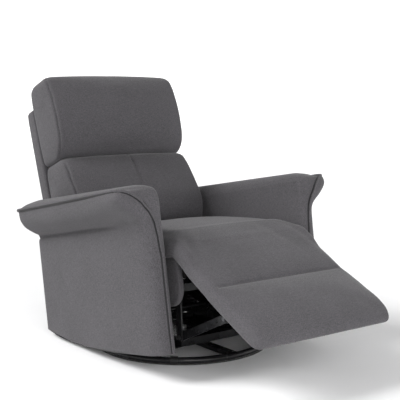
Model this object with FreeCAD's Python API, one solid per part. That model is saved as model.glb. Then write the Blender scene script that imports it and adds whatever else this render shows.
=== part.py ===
import FreeCAD, Part
import math
import os
from FreeCAD import Vector

# A swivel rocker recliner, in millimetres: +Z up, the chair faces -Y.
# The origin is on the floor, on the swivel axis.
# The chair stands rocked back with its footrest out, which is the rest position of every joint.

# Angles of the rest position, in degrees
tilt_back = 10.3
back_lean = 9.9
foot_drop = 35.5

# Floor ring and swivel
ring_radius = 300.0
ring_tube = 22.0
strip_height = 3.0
strip_width = 12.0
clip_count = 4
clip_angle = 229.0
clip_length = 24.0
clip_wall = 3.0
clip_floor_gap = 1.0
spoke_width = 30.0
spoke_height = 14.0
hub_radius = 95.0
hub_plate_thickness = 5.0
race_inner = 52.0
race_outer = 88.0
race_height = 6.0
race_gap = 2.0
ball_count = 16
ball_radius = 4.5
ball_clearance = 0.4
bolt_radius = 9.0
nut_radius = 16.0
nut_height = 6.0
nut_gap = 0.4

# Rocker base that turns on the swivel
carrier_half_length = 205.0
carrier_half_width = 165.0
carrier_plate_depth = 200.0
carrier_plate_thickness = 5.0
side_tube_width = 30.0
side_tube_height = 30.0
cross_bar_width = 25.0
cross_bar_height = 25.0
cross_bar_y = 190.0
tube_wall = 2.0
rock_pivot_y = 40.0
rock_pivot_z = 105.0
shaft_radius = 9.0
bracket_width = 16.0
bracket_length = 56.0
bearing_wall = 11.0

# Rocker springs
spring_radius = 14.0
spring_wire = 4.0
spring_turns = 5.5
spring_gap = 0.4

# Seat box, in the chair's own level frame
seat_base = 284.0
board_outer = 256.0
board_thickness = 18.0
board_front = -402.0
board_bottom = 158.0
board_rear = 315.0
board_ear_height = 36.0
board_corner = 62.0
rail_thickness = 20.0
rail_height = 34.0
front_rail_y = -400.0
rear_rail_y = 180.0
plate_thickness = 4.0
plate_front = -368.0
plate_rear = 175.0
plate_bottom = 150.0
tube_side = 25.0
tube_front_y = -95.0
tube_rear_y = 140.0
tube_z = 190.0
hanger_thickness = 8.0
hanger_depth = 15.0
hanger_x = 132.0
seat_spring_count = 4
seat_spring_wire = 4.0
seat_spring_spacing = 110.0
seat_spring_bend = 22.0
seat_spring_bends = 12
block_length = 80.0
block_height = 60.0
block_z = 220.0
block_front_y = -180.0
block_rear_y = 100.0
screw_radius = 4.0
screw_head_radius = 9.0
screw_head_height = 5.0
screw_grip = 30.0

# Arms
arm_inner = 288.0
arm_outer = 356.0
arm_front = -385.0
arm_rear = 338.0
arm_bottom = 22.0
arm_rear_rise = 64.0
arm_rise_start = -100.0
arm_top = 551.0
arm_valley = 405.0
arm_crown = 47.0
arm_shoulder = 46.0
arm_shoulder_bow = 14.8
arm_top_bow = 7.9
flare_reach = 424.0
flare_tip_z = 517.0
flare_under = 37.0
flare_depth = 74.0
flare_nose_bow = 14.6
flare_valley_bow = -8.2
flare_setback = 38.0
front_wrap = 88.0
inner_wrap = 17.0
ring_recess_width = 36.0
ring_recess_length = 320.0
ring_recess_height = 70.0

# Release paddle in the right arm
paddle_y = -170.0
paddle_z = 455.0
paddle_length = 64.0
paddle_height = 30.0
paddle_thickness = 4.0
bezel_border = 9.0
bezel_thickness = 3.0
cup_depth = 15.0
cup_wall = 2.0
paddle_heel = 4.0
paddle_gap = 0.8
paddle_pin_radius = 2.5

# Seat cushion: edge height and crown over the edges at six places from the rear to the front
cushion_half_width = 280.0
cushion_rear = 150.0
cushion_front = -385.0
cushion_rear_tuck = 6.0
cushion_side_tuck = 2.0
cushion_rear_edge = 84.0
cushion_rear_crown = 20.0
cushion_heel_along = 60.0
cushion_heel_edge = 106.0
cushion_heel_crown = 30.0
cushion_high_along = 190.0
cushion_high_edge = 110.0
cushion_high_crown = 34.0
cushion_thigh_along = 210.0
cushion_thigh_edge = 98.0
cushion_thigh_crown = 40.0
cushion_knee_along = 90.0
cushion_knee_edge = 82.0
cushion_knee_crown = 42.0
cushion_front_edge = 61.0
cushion_front_crown = 40.0

# Calf pad and footrest pad
calf_rise = 24.0
calf_top_edge = 38.0
calf_tuck = 4.0
calf_crown = 40.0
calf_mid_behind = 107.6
calf_mid_lift = 4.0
calf_mid_flatter = 3.0
calf_mid_spread = 3.0
seam_gap = 1.2
pad_gap = 0.4
pad_half_width = 262.0
pad_depth = 50.0
pad_edge = 46.0
pad_length = 226.0
pad_swell_along = 36.0
pad_swell_spread = 2.0
pad_swell_crown = 25.0
pad_full_along = 113.0
pad_full_tuck = 1.0
pad_full_crown = 38.0
pad_toe_along = 186.0
pad_toe_drop = 3.0
pad_toe_crown = 25.0
pad_end_tuck = 5.0
pad_end_drop = 22.0
pad_end_crown = 8.0
seam_y = -563.0
seam_z = 213.0
foot_board_thickness = 12.0
foot_board_half_width = 232.0
foot_board_start = 16.0
foot_board_end = 205.0
foot_bracket_end = 154.0

# Footrest linkage
link_pivot_y = -345.0
link_pivot_z = 262.0
turn_centre_y = -569.0
turn_centre_z = 322.0
foot_pin_along = 40.0
foot_pin_below = 88.0
link_thickness = 6.0
link_gap = 2.0
link_width = 26.0
pin_radius = 6.0
pin_clearance = 0.06
pin_head_radius = 9.0
torque_tube_radius = 11.0
torque_tube_wall = 2.0
link_plate_boss = 14.0
spare_hole_radius = 4.0
spare_hole_from_end = 32.0
spare_hole_pitch = 30.0

# Back, in its own upright frame
back_half_width = 257.0
back_front_y = 268.0
back_frame_thickness = 42.0
back_frame_bottom = 400.0
back_top = 955.0
back_rail = 60.0
cover_thickness = 12.0
cover_side = 8.0
cover_skirt_half_width = 226.0
cover_skirt_bottom = 240.0
cover_wide_bottom = 430.0
hinge_y = 283.0
hinge_z = 286.0
hinge_plate = 5.0
hinge_pin_radius = 8.0
hinge_head_radius = 12.0
hinge_boss_radius = 20.0
hinge_plate_top = 520.0

# Lumbar cushion: height, half width, front edge and crown at five places from the bottom up
lumbar_bottom = 441.0
lumbar_top = 716.0
lumbar_half_width = 266.0
lumbar_end_tuck = 13.0
lumbar_side_tuck = 3.0
lumbar_low_edge = 72.0
lumbar_low_crown = 30.0
lumbar_belly_up = 80.0
lumbar_belly_edge = 60.0
lumbar_belly_crown = 56.0
lumbar_rise_up = 190.0
lumbar_rise_edge = 86.0
lumbar_rise_crown = 38.0
lumbar_neck_down = 20.0
lumbar_neck_edge = 116.0
lumbar_neck_crown = 34.0
lumbar_top_edge = 140.0
lumbar_top_crown = 30.0

# Head cushion: the same at six places
head_gap = 2.0
head_top = 1037.0
head_half_width = 272.0
head_low_tuck = 16.0
head_side_tuck = 4.0
head_top_tuck = 22.0
head_low_edge = 150.0
head_low_crown = 28.0
head_roll_up = 28.0
head_roll_edge = 124.0
head_roll_crown = 40.0
head_swell_up = 115.0
head_swell_edge = 98.0
head_swell_crown = 42.0
head_full_up = 210.0
head_full_edge = 96.0
head_full_crown = 38.0
head_brow_down = 34.0
head_brow_edge = 118.0
head_brow_crown = 26.0
head_top_edge = 152.0
head_top_crown = 16.0

X = Vector(1, 0, 0)
Y = Vector(0, 1, 0)
Z = Vector(0, 0, 1)
ORIGIN = Vector(0, 0, 0)

# Heights that follow from the stack on the floor
ring_z = strip_height + ring_tube / 2
spoke_bottom = ring_z - spoke_height / 2
hub_bottom = spoke_bottom + spoke_height
race_bottom = hub_bottom + hub_plate_thickness
carrier_bottom = race_bottom + 2 * race_height + race_gap
carrier_top = carrier_bottom + carrier_plate_thickness
side_tube_top = carrier_top + side_tube_height


def box(x0, x1, y0, y1, z0, z1):
    return Part.makeBox(x1 - x0, y1 - y0, z1 - z0, Vector(x0, y0, z0))


def rod(x0, x1, y, z, radius):
    return Part.makeCylinder(radius, x1 - x0, Vector(x0, y, z), X)


def post(x, y, z0, z1, radius):
    return Part.makeCylinder(radius, z1 - z0, Vector(x, y, z0), Z)


def annulus(inner, outer, z0, z1):
    return post(0, 0, z0, z1, outer).cut(post(0, 0, z0, z1, inner))


def tube_x(half_length, y, z, width, height):
    """A rectangular tube across the chair, centred on y, z."""

    def bar_of(half_width, half_height):
        return box(
            -half_length, half_length, y - half_width, y + half_width,
            z - half_height, z + half_height,
        )

    return bar_of(width / 2, height / 2).cut(bar_of(width / 2 - tube_wall, height / 2 - tube_wall))


def both(shape):
    """The shape and its mirror image across the chair's middle plane."""
    return [shape, shape.mirror(ORIGIN, X)]


def joined(shapes):
    return shapes[0].multiFuse(shapes[1:]).removeSplitter()


def group(shapes):
    return Part.makeCompound(shapes)


def level(shape, angle):
    """Turn a shape about the origin so that its top leans back by the angle."""
    turned = shape.copy()
    turned.rotate(ORIGIN, X, -angle)
    return turned


def chair(shape):
    return level(shape, tilt_back)


def back(shape):
    return level(shape, tilt_back + back_lean)


def footrest(shape):
    """Place a shape drawn flat, with its sewn line at the origin, on the lowered footrest."""
    turned = shape.copy()
    turned.rotate(ORIGIN, X, foot_drop)
    turned.translate(Vector(0, seam_y, seam_z))
    return chair(turned)


def outline(edges):
    """A face from corner points; a triple (point, middle, point) stands for an arc."""
    parts = []
    for edge in edges:
        if len(edge) == 3:
            parts.append(Part.Arc(*edge).toShape())
        else:
            parts.append(Part.makeLine(*edge))
    return Part.Face(Part.Wire(parts))


def plate_yz(corners, x0, x1):
    points = [Vector(x0, y, z) for y, z in corners]
    return Part.Face(Part.makePolygon(points + points[:1])).extrude(X * (x1 - x0))


def lofted(sections):
    return Part.makeLoft(sections, True, False)


def export(name, shape):
    shape.exportStep("parts/" + name + ".step")


os.makedirs("parts", exist_ok=True)


# Floor ring, rubber strip, clips and spokes
ring = Part.makeTorus(ring_radius, ring_tube / 2, Vector(0, 0, ring_z))
strip_half = strip_width / 2
strip = annulus(ring_radius - strip_half, ring_radius + strip_half, 0, ring_z).cut(ring)
export("base_ring", ring)
export("floor_strip", strip)

clip_outer = Part.makeTorus(ring_radius, ring_tube / 2 + clip_wall, Vector(0, 0, ring_z))
clip_window = box(
    ring_radius - ring_tube, ring_radius + ring_tube,
    -clip_length / 2, clip_length / 2, clip_floor_gap, ring_z + ring_tube,
)
clip_below = annulus(ring_radius - ring_tube / 2, ring_radius + ring_tube / 2, 0, ring_z)
clip = clip_outer.common(clip_window).cut(ring).cut(clip_below)
clips = []
for i in range(clip_count):
    turned = clip.copy()
    turned.rotate(ORIGIN, Z, clip_angle + i * 360 / clip_count)
    clips.append(turned)
export("ring_clips", group(clips))

spokes = []
for angle in (0, 90):
    spoke = box(
        -ring_radius, ring_radius, -spoke_width / 2, spoke_width / 2,
        spoke_bottom, spoke_bottom + spoke_height,
    )
    spoke.rotate(ORIGIN, Z, angle)
    spokes.append(spoke)
bolt_bore = post(0, 0, 0, rock_pivot_z, bolt_radius)
export("base_spokes", joined(spokes).cut(ring).cut(bolt_bore))

# Swivel: hub plate, two ball races, balls, centre bolt and retaining nut
export("hub_plate", post(0, 0, hub_bottom, race_bottom, hub_radius).cut(bolt_bore))
ball_z = race_bottom + race_height + race_gap / 2
ball_circle = (race_inner + race_outer) / 2
groove = Part.makeTorus(ball_circle, ball_radius + ball_clearance, Vector(0, 0, ball_z))
lower_race = annulus(race_inner, race_outer, race_bottom, race_bottom + race_height)
upper_race = annulus(race_inner, race_outer, carrier_bottom - race_height, carrier_bottom)
balls = []
for i in range(ball_count):
    turn = 2 * math.pi * i / ball_count
    at = Vector(ball_circle * math.cos(turn), ball_circle * math.sin(turn), ball_z)
    balls.append(Part.makeSphere(ball_radius, at))
export("swivel_lower_race", lower_race.cut(groove))
export("swivel_upper_race", upper_race.cut(groove))
export("swivel_balls", group(balls))
nut_bottom = carrier_top + nut_gap
nut_top = nut_bottom + nut_height
bolt = post(0, 0, spoke_bottom, nut_top, bolt_radius)
nut = post(0, 0, nut_bottom, nut_top, nut_radius)
export("swivel_bolt", bolt)
export("swivel_nut", nut.cut(bolt))

# Rocker base: swivel plate, side tubes, cross bars, bearing brackets
side_outer = carrier_half_width + side_tube_width / 2
side_inner = carrier_half_width - side_tube_width / 2
carrier = box(
    -side_outer, side_outer, -carrier_plate_depth / 2, carrier_plate_depth / 2,
    carrier_bottom, carrier_top,
)
bolt_clear = post(0, 0, 0, rock_pivot_z, bolt_radius + pin_clearance)
export("swivel_plate", carrier.cut(bolt_clear))
side_tube = box(
    side_inner, side_outer, -carrier_half_length, carrier_half_length,
    carrier_top, side_tube_top,
).cut(
    box(
        side_inner + tube_wall, side_outer - tube_wall, -carrier_half_length, carrier_half_length,
        carrier_top + tube_wall, side_tube_top - tube_wall,
    )
)
for name, tube in zip(("left", "right"), both(side_tube)):
    export("rocker_side_tube_" + name, tube)
cross_bars = []
for middle in (-cross_bar_y, cross_bar_y):
    cross_bars.append(
        tube_x(side_inner, middle, carrier_top + cross_bar_height / 2, cross_bar_width, cross_bar_height)
    )
export("rocker_cross_bars", group(cross_bars))
bearing_radius = shaft_radius + bearing_wall
bracket_inner = carrier_half_width - bracket_width / 2
bracket_outer = carrier_half_width + bracket_width / 2
foot = plate_yz(
    [
        (rock_pivot_y - bracket_length / 2, side_tube_top),
        (rock_pivot_y + bracket_length / 2, side_tube_top),
        (rock_pivot_y + bearing_radius, rock_pivot_z),
        (rock_pivot_y - bearing_radius, rock_pivot_z),
    ],
    bracket_inner,
    bracket_outer,
)
bearing = rod(bracket_inner, bracket_outer, rock_pivot_y, rock_pivot_z, bearing_radius)
shaft_clear = rod(-side_outer, side_outer, rock_pivot_y, rock_pivot_z, shaft_radius + pin_clearance)
export("bearing_brackets", group(both(joined([foot, bearing]).cut(shaft_clear))))


# Steel under the seat that rocks with the chair
def to_chair(y, z):
    """A point of the standing frame, in the chair's own level frame."""
    turn = math.radians(tilt_back)
    return y * math.cos(turn) - z * math.sin(turn), y * math.sin(turn) + z * math.cos(turn)


def to_floor(y, z):
    """A point of the chair's own level frame, in the standing frame."""
    turn = math.radians(tilt_back)
    return y * math.cos(turn) + z * math.sin(turn), z * math.cos(turn) - y * math.sin(turn)


board_inner = board_outer - board_thickness
plate_inner = board_inner - plate_thickness
tube_half = tube_side / 2
tube_under = tube_z - tube_half
cross_tubes = []
for y in (tube_front_y, tube_rear_y):
    cross_tubes.append(tube_x(plate_inner, y, tube_z, tube_side, tube_side))
export("seat_cross_tubes", chair(group(cross_tubes)))
shaft_end = bracket_outer + link_gap
shaft = rod(-shaft_end, shaft_end, rock_pivot_y, rock_pivot_z, shaft_radius)
export("rocker_shaft", shaft)
pivot_y, pivot_z = to_chair(rock_pivot_y, rock_pivot_z)
hanger = plate_yz(
    [
        (tube_front_y - tube_half, tube_under),
        (tube_rear_y + tube_half, tube_under),
        (tube_rear_y + tube_half, tube_under - hanger_depth),
        (pivot_y + bearing_radius, pivot_z),
        (pivot_y - bearing_radius, pivot_z),
        (tube_front_y - tube_half, tube_under - hanger_depth),
    ],
    hanger_x - hanger_thickness / 2,
    hanger_x + hanger_thickness / 2,
)
boss = rod(
    hanger_x - hanger_thickness / 2, hanger_x + hanger_thickness / 2,
    pivot_y, pivot_z, bearing_radius,
)
for name, plate in zip(("left", "right"), both(chair(joined([hanger, boss])).cut(shaft))):
    export("rocker_hanger_" + name, plate)


# Rocker springs: one wire each, from quarter turns that are two tangent arcs
def arc_from(start, end, tangent):
    chord = end - start
    along = chord * (1 / chord.Length)
    aside = tangent - along * tangent.dot(along)
    bend = math.atan2(aside.Length, tangent.dot(along))
    middle = (start + end) * 0.5
    if aside.Length > 1e-9:
        middle += aside * (chord.Length / 2 * math.tan(bend / 2) / aside.Length)
    return Part.Arc(start, middle, end).toShape()


def coil(radius, pitch, turns):
    """A helix about Z from height 0, as pairs of arcs with matching tangents."""

    def at(turn):
        angle = 2 * math.pi * turn
        return Vector(radius * math.cos(angle), radius * math.sin(angle), pitch * turn)

    def tangent(turn):
        angle = 2 * math.pi * turn
        girth = 2 * math.pi * radius
        slope = Vector(-girth * math.sin(angle), girth * math.cos(angle), pitch)
        return slope * (1 / slope.Length)

    edges = []
    for i in range(int(round(turns * 4))):
        start, end = at(i / 4), at((i + 1) / 4)
        leave, arrive = tangent(i / 4), tangent((i + 1) / 4)
        chord, sweep = end - start, 1 - leave.dot(arrive)
        pull = chord.dot(leave + arrive)
        reach = (math.sqrt(pull * pull + 2 * sweep * chord.dot(chord)) - pull) / (2 * sweep)
        meet = (start + end + (leave - arrive) * reach) * 0.5
        edges.append(arc_from(start, meet, leave))
        edges.append(arc_from(meet, end, arc_end_tangent(start, meet, leave)))
    return Part.Wire(edges), at(0), tangent(0)


def arc_end_tangent(start, end, tangent):
    along = (end - start) * (1 / (end - start).Length)
    return along * (2 * tangent.dot(along)) - tangent


def spring(x, y, z, length):
    rise = length - spring_wire
    path, start, heading = coil(spring_radius, rise / spring_turns, spring_turns)
    section = Part.Wire(Part.makeCircle(spring_wire / 2, start, heading))
    wire = path.makePipeShell([section], True, False)
    wire.translate(Vector(x, y, z + spring_wire / 2))
    return wire


lean_drop = (spring_radius + spring_wire / 2) * math.tan(math.radians(tilt_back))
coil_gaps = []
for name, y in (("front", tube_front_y), ("rear", tube_rear_y)):
    seat_y, seat_z = to_floor(y, tube_under)
    length = seat_z - lean_drop - spring_gap - (side_tube_top + spring_gap)
    coil_gaps.append((length - spring_wire) / spring_turns - spring_wire)
    one = spring(carrier_half_width, seat_y, side_tube_top + spring_gap, length)
    other = one.copy()
    other.translate(Vector(-2 * carrier_half_width, 0, 0))
    export("rocker_springs_" + name, group([one, other]))
print("least gap between spring turns", round(min(coil_gaps), 2))

# Seat box: arm screws and spacer blocks, side boards, rails, steel side plates and wire springs
blocks, screws = [], []
for y in (block_front_y, block_rear_y):
    blocks.append(
        box(
            board_outer, arm_inner, y - block_length / 2, y + block_length / 2,
            block_z - block_height / 2, block_z + block_height / 2,
        )
    )
    for side in (-1, 1):
        at = y + side * block_length / 4
        shank = rod(plate_inner, arm_inner + screw_grip, at, block_z, screw_radius)
        head = rod(plate_inner - screw_head_height, plate_inner, at, block_z, screw_head_radius)
        screws.append(joined([shank, head]))
screw_set = group(screws)
export("arm_spacers", chair(group(both(group([block.cut(screw_set) for block in blocks])))))
export("arm_screws", chair(group(both(screw_set))))

ear = board_ear_height
corner_y = board_front + board_corner
corner_z = board_bottom + board_corner
bulge = board_corner * (1 - math.sqrt(0.5))
board_edges = [
    (board_front, seat_base), (board_front, corner_z), (corner_y, board_bottom),
    (hinge_y - 2 * hinge_boss_radius, board_bottom), (board_rear, hinge_z - 2 * hinge_boss_radius),
    (board_rear, seat_base + ear), (hinge_y - 2 * hinge_boss_radius, seat_base + ear),
    (hinge_y - 3 * hinge_boss_radius, seat_base),
]
board_points = [Vector(board_inner, y, z) for y, z in board_edges]
corner_middle = Vector(board_inner, board_front + bulge, board_bottom + bulge)
board_wire = [(board_points[0], board_points[1]), (board_points[1], corner_middle, board_points[2])]
board_wire += list(zip(board_points[2:], board_points[3:] + board_points[:1]))
hinge_pin_hole = rod(0, arm_inner, hinge_y, hinge_z, hinge_pin_radius)
board = outline(board_wire).extrude(X * board_thickness).cut(hinge_pin_hole).cut(screw_set)
for name, side in zip(("left", "right"), both(board)):
    export("seat_side_board_" + name, chair(side))
spring_bed = seat_base - seat_spring_wire
rail_low = spring_bed - rail_height
front_rail = box(
    -board_inner, board_inner, front_rail_y, front_rail_y + rail_thickness, rail_low, spring_bed
)
rear_rail = box(
    -board_inner, board_inner, rear_rail_y, rear_rail_y + rail_thickness, rail_low, spring_bed
)
export("seat_rail_front", chair(front_rail))
export("seat_rail_rear", chair(rear_rail))
link_hole = rod(0, board_outer, link_pivot_y, link_pivot_z, pin_radius + pin_clearance)
side_plate = plate_yz(
    [
        (plate_front, spring_bed), (plate_front, link_pivot_z - 2 * link_width),
        (tube_front_y - tube_side, plate_bottom), (plate_rear, plate_bottom), (plate_rear, spring_bed),
    ],
    plate_inner,
    board_inner,
).cut(link_hole).cut(screw_set)
for name, side in zip(("left", "right"), both(side_plate)):
    export("mechanism_plate_" + name, chair(side))

spring_start = front_rail_y + rail_thickness / 2
spring_pitch = (rear_rail_y - front_rail_y) / seat_spring_bends
seat_springs = []
for i in range(seat_spring_count):
    middle = (i - (seat_spring_count - 1) / 2) * seat_spring_spacing
    wire_z = spring_bed + seat_spring_wire / 2
    edges = []
    for k in range(seat_spring_bends):
        y0 = spring_start + k * spring_pitch
        sway = seat_spring_bend if k % 2 else -seat_spring_bend
        edges.append(
            Part.Arc(
                Vector(middle, y0, wire_z),
                Vector(middle + sway, y0 + spring_pitch / 2, wire_z),
                Vector(middle, y0 + spring_pitch, wire_z),
            ).toShape()
        )
    path = Part.Wire(edges)
    heading = edges[0].tangentAt(edges[0].FirstParameter)
    section = Part.Wire(Part.makeCircle(seat_spring_wire / 2, edges[0].firstVertex().Point, heading))
    seat_springs.append(path.makePipeShell([section], True, False))
export("seat_springs", chair(group(seat_springs)))


# Padded arms with a rolled, flared top
def at_height(points, z):
    return [Vector(x, y, z) for x, y in points]


def front_rounding(reach, setback):
    """Plan of an arm: square at the rear, rounded at the front from the inner face to the outer."""
    heel = arm_front + inner_wrap
    nose = arm_inner + inner_wrap
    slant = math.sqrt(0.5)
    inner_mid = (nose - inner_wrap * slant, heel - inner_wrap * slant)
    outer_mid = (nose + (reach - nose) * slant, arm_front + setback * (1 - slant))
    plan = at_height(
        [
            (arm_inner, arm_rear), (arm_inner, heel), inner_mid, (nose, arm_front),
            outer_mid, (reach, arm_front + setback), (reach, arm_rear),
        ],
        0,
    )
    return outline(
        [
            (plan[0], plan[1]), (plan[1], plan[2], plan[3]), (plan[3], plan[4], plan[5]),
            (plan[5], plan[6]), (plan[6], plan[0]),
        ]
    ).extrude(Z * arm_top)


def bowed(start, end, bow):
    """An edge at the arm's front from start to end, an arc that rises to the left by the bow."""
    (x0, z0), (x1, z1) = start, end
    length = math.hypot(x1 - x0, z1 - z0)
    middle_x = (x0 + x1) / 2 - (z1 - z0) / length * bow
    middle_z = (z0 + z1) / 2 + (x1 - x0) / length * bow
    points = ((x0, z0), (middle_x, middle_z), (x1, z1))
    return tuple(Vector(x, arm_front, z) for x, z in points)


shoulder = (arm_inner, arm_top - arm_shoulder)
crown = (arm_inner + arm_crown, arm_top)
tip = (flare_reach, flare_tip_z)
under = (flare_reach - flare_under, flare_tip_z - flare_depth)
outer_low = Vector(arm_outer, arm_front, arm_valley)
inner_low = Vector(arm_inner, arm_front, arm_valley)
roll = outline(
    [
        (inner_low, Vector(arm_inner, arm_front, arm_top - arm_shoulder)),
        bowed(shoulder, crown, arm_shoulder_bow),
        bowed(crown, tip, arm_top_bow),
        bowed(tip, under, flare_nose_bow),
        bowed(under, (arm_outer, arm_valley), flare_valley_bow),
        (outer_low, inner_low),
    ]
).extrude(Y * (arm_rear - arm_front))
roll = roll.common(front_rounding(flare_reach, flare_setback))
panel = front_rounding(arm_outer, front_wrap).common(
    box(arm_inner, arm_outer, arm_front, arm_rear, 0, arm_valley)
)
rise_mid = (arm_rise_start + arm_rear) / 2
under_cut = outline(
    [
        (Vector(0, arm_front, 0), Vector(0, arm_front, arm_bottom)),
        (Vector(0, arm_front, arm_bottom), Vector(0, arm_rise_start, arm_bottom)),
        (
            Vector(0, arm_rise_start, arm_bottom),
            Vector(0, rise_mid, arm_bottom + arm_rear_rise / 4),
            Vector(0, arm_rear, arm_bottom + arm_rear_rise),
        ),
        (Vector(0, arm_rear, arm_bottom + arm_rear_rise), Vector(0, arm_rear, 0)),
        (Vector(0, arm_rear, 0), Vector(0, arm_front, 0)),
    ]
).extrude(X * flare_reach)
ring_recess = box(
    arm_inner, arm_inner + ring_recess_width, -ring_recess_length / 2, ring_recess_length / 2,
    0, ring_recess_height,
)
arm = joined([roll, panel]).cut(under_cut).cut(ring_recess).cut(screw_set)
left_arm, right_arm = both(arm)

# Release paddle in a moulded cup in the right arm
cup_length = paddle_length + 2 * paddle_gap
cup_height = paddle_height + 2 * paddle_gap


def paddle_box(border, x0, x1):
    return box(
        x0, x1,
        paddle_y - cup_length / 2 - border, paddle_y + cup_length / 2 + border,
        paddle_z - cup_height / 2 - border, paddle_z + cup_height / 2 + border,
    )


cup_back = -arm_inner - cup_depth
bezel_face = -arm_inner + bezel_thickness
cup_shell = paddle_box(cup_wall, cup_back, -arm_inner)
flange = paddle_box(bezel_border, -arm_inner, bezel_face)
cup_room = paddle_box(0, cup_back + cup_wall, bezel_face)
paddle_pin_y = paddle_y - paddle_length / 2 + paddle_heel
paddle_pin_x = -arm_inner - paddle_thickness / 2
pin_low = paddle_z - cup_height / 2 - cup_wall
pin_high = paddle_z + cup_height / 2 + cup_wall
paddle_pin = post(paddle_pin_x, paddle_pin_y, pin_low, pin_high, paddle_pin_radius)
paddle_bore = post(
    paddle_pin_x, paddle_pin_y, pin_low, pin_high, paddle_pin_radius + pin_clearance
)
paddle = box(
    -arm_inner - paddle_thickness, -arm_inner,
    paddle_y - paddle_length / 2, paddle_y + paddle_length / 2,
    paddle_z - paddle_height / 2, paddle_z + paddle_height / 2,
)
knuckle = post(
    paddle_pin_x, paddle_pin_y, paddle_z - paddle_height / 2, paddle_z + paddle_height / 2,
    paddle_heel,
)
export("arm_left", chair(left_arm))
export("arm_right", chair(right_arm.cut(cup_shell)))
export("release_bezel", chair(joined([cup_shell, flange]).cut(cup_room).cut(paddle_pin)))
export("release_pin", chair(paddle_pin))
export("release_paddle", chair(joined([paddle, knuckle]).cut(paddle_bore)))


# Seat cushion, calf pad and footrest pad: crowned sections, narrower between their corners
def pad_section(y, z, drop, half_width, edge, crown):
    """A section across the chair, standing square to the pad, from its underside at y, z."""
    turn = math.radians(drop)

    def at(x, height):
        return Vector(x, y - height * math.sin(turn), z + height * math.cos(turn))

    low_left, low_right = at(-half_width, 0), at(half_width, 0)
    left, middle, right = at(-half_width, edge), at(0, crown), at(half_width, edge)
    return Part.Wire(
        [
            Part.makeLine(low_left, low_right),
            Part.makeLine(low_right, right),
            Part.Arc(right, middle, left).toShape(),
            Part.makeLine(left, low_left),
        ]
    )


seat_shape = [
    (cushion_rear, cushion_rear_tuck, cushion_rear_edge, cushion_rear_crown),
    (cushion_rear - cushion_heel_along, 0, cushion_heel_edge, cushion_heel_crown),
    (cushion_rear - cushion_high_along, cushion_side_tuck, cushion_high_edge, cushion_high_crown),
    (cushion_front + cushion_thigh_along, cushion_side_tuck, cushion_thigh_edge, cushion_thigh_crown),
    (cushion_front + cushion_knee_along, 0, cushion_knee_edge, cushion_knee_crown),
    (cushion_front, 0, cushion_front_edge, cushion_front_crown),
]
seat_sections = []
for y, tuck, edge, crown_over in seat_shape:
    half = cushion_half_width - tuck
    seat_sections.append(pad_section(y, seat_base, 0, half, edge, edge + crown_over))
export("seat_cushion", chair(lofted(seat_sections)))


def from_footrest(y, z):
    """A point of the flat footrest drawing, in the chair's own level frame."""
    turn = math.radians(foot_drop)
    return (
        y * math.cos(turn) - z * math.sin(turn) + seam_y,
        y * math.sin(turn) + z * math.cos(turn) + seam_z,
    )


seam_low_y, seam_low_z = from_footrest(seam_gap, -pad_depth)
calf_mid_y, calf_mid_z = from_footrest(calf_mid_behind, calf_mid_lift - pad_depth)
calf_sections = [
    pad_section(
        cushion_front - pad_gap, seat_base + calf_rise, 0,
        cushion_half_width - calf_tuck, calf_top_edge, calf_top_edge + calf_crown,
    ),
    pad_section(
        calf_mid_y, calf_mid_z, foot_drop - calf_mid_flatter,
        pad_half_width + calf_mid_spread, pad_edge, pad_edge + calf_crown,
    ),
    pad_section(seam_low_y, seam_low_z, foot_drop, pad_half_width, pad_edge, pad_depth),
]
export("calf_pad", chair(lofted(calf_sections)))

pad_shape = [
    (0, 0, pad_edge, pad_depth - pad_edge),
    (pad_swell_along, -pad_swell_spread, pad_edge, pad_swell_crown),
    (pad_full_along, pad_full_tuck, pad_edge, pad_full_crown),
    (pad_toe_along, 0, pad_edge - pad_toe_drop, pad_toe_crown),
    (pad_length, pad_end_tuck, pad_edge - pad_end_drop, pad_end_crown),
]
pad_sections = []
for along, tuck, edge, crown_over in pad_shape:
    half = pad_half_width - tuck
    pad_sections.append(pad_section(-along, -pad_depth, 0, half, edge, edge + crown_over))
export("footrest_pad", footrest(lofted(pad_sections)))

# Footrest board and brackets
board_low = -pad_depth - foot_board_thickness
foot_board = box(
    -foot_board_half_width, foot_board_half_width, -foot_board_end, -foot_board_start,
    board_low, -pad_depth,
)
export("footrest_board", footrest(foot_board))
link_a_outer = plate_inner - link_gap
link_a_inner = link_a_outer - link_thickness
link_b_outer = link_a_inner - link_gap
link_b_inner = link_b_outer - link_thickness
bracket_x1 = link_b_inner - link_gap
bracket_x0 = bracket_x1 - link_thickness
foot_pin = rod(bracket_x0 - link_gap, link_b_outer, -foot_pin_along, -foot_pin_below, pin_radius)
foot_head = rod(
    bracket_x0 - link_gap, bracket_x0, -foot_pin_along, -foot_pin_below, pin_head_radius
)
foot_bracket = plate_yz(
    [
        (-foot_board_start, board_low), (-foot_pin_along + link_plate_boss, -foot_pin_below),
        (-foot_pin_along - link_plate_boss, -foot_pin_below), (-foot_bracket_end, board_low),
    ],
    bracket_x0,
    bracket_x1,
)
foot_eye = rod(bracket_x0, bracket_x1, -foot_pin_along, -foot_pin_below, link_plate_boss)
foot_pins = joined([foot_pin, foot_head])
for name, plate in zip(("left", "right"), both(joined([foot_bracket, foot_eye]).cut(foot_pins))):
    export("footrest_bracket_" + name, footrest(plate))
export("footrest_pins", footrest(group(both(foot_pins))))

# Footrest links: the rear pair hangs from the torque tube, the front pair stays parallel to itself
foot_y, foot_z = from_footrest(-foot_pin_along, -foot_pin_below)
knee_y = foot_y - (turn_centre_y - link_pivot_y)
knee_z = foot_z - (turn_centre_z - link_pivot_z)


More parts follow.
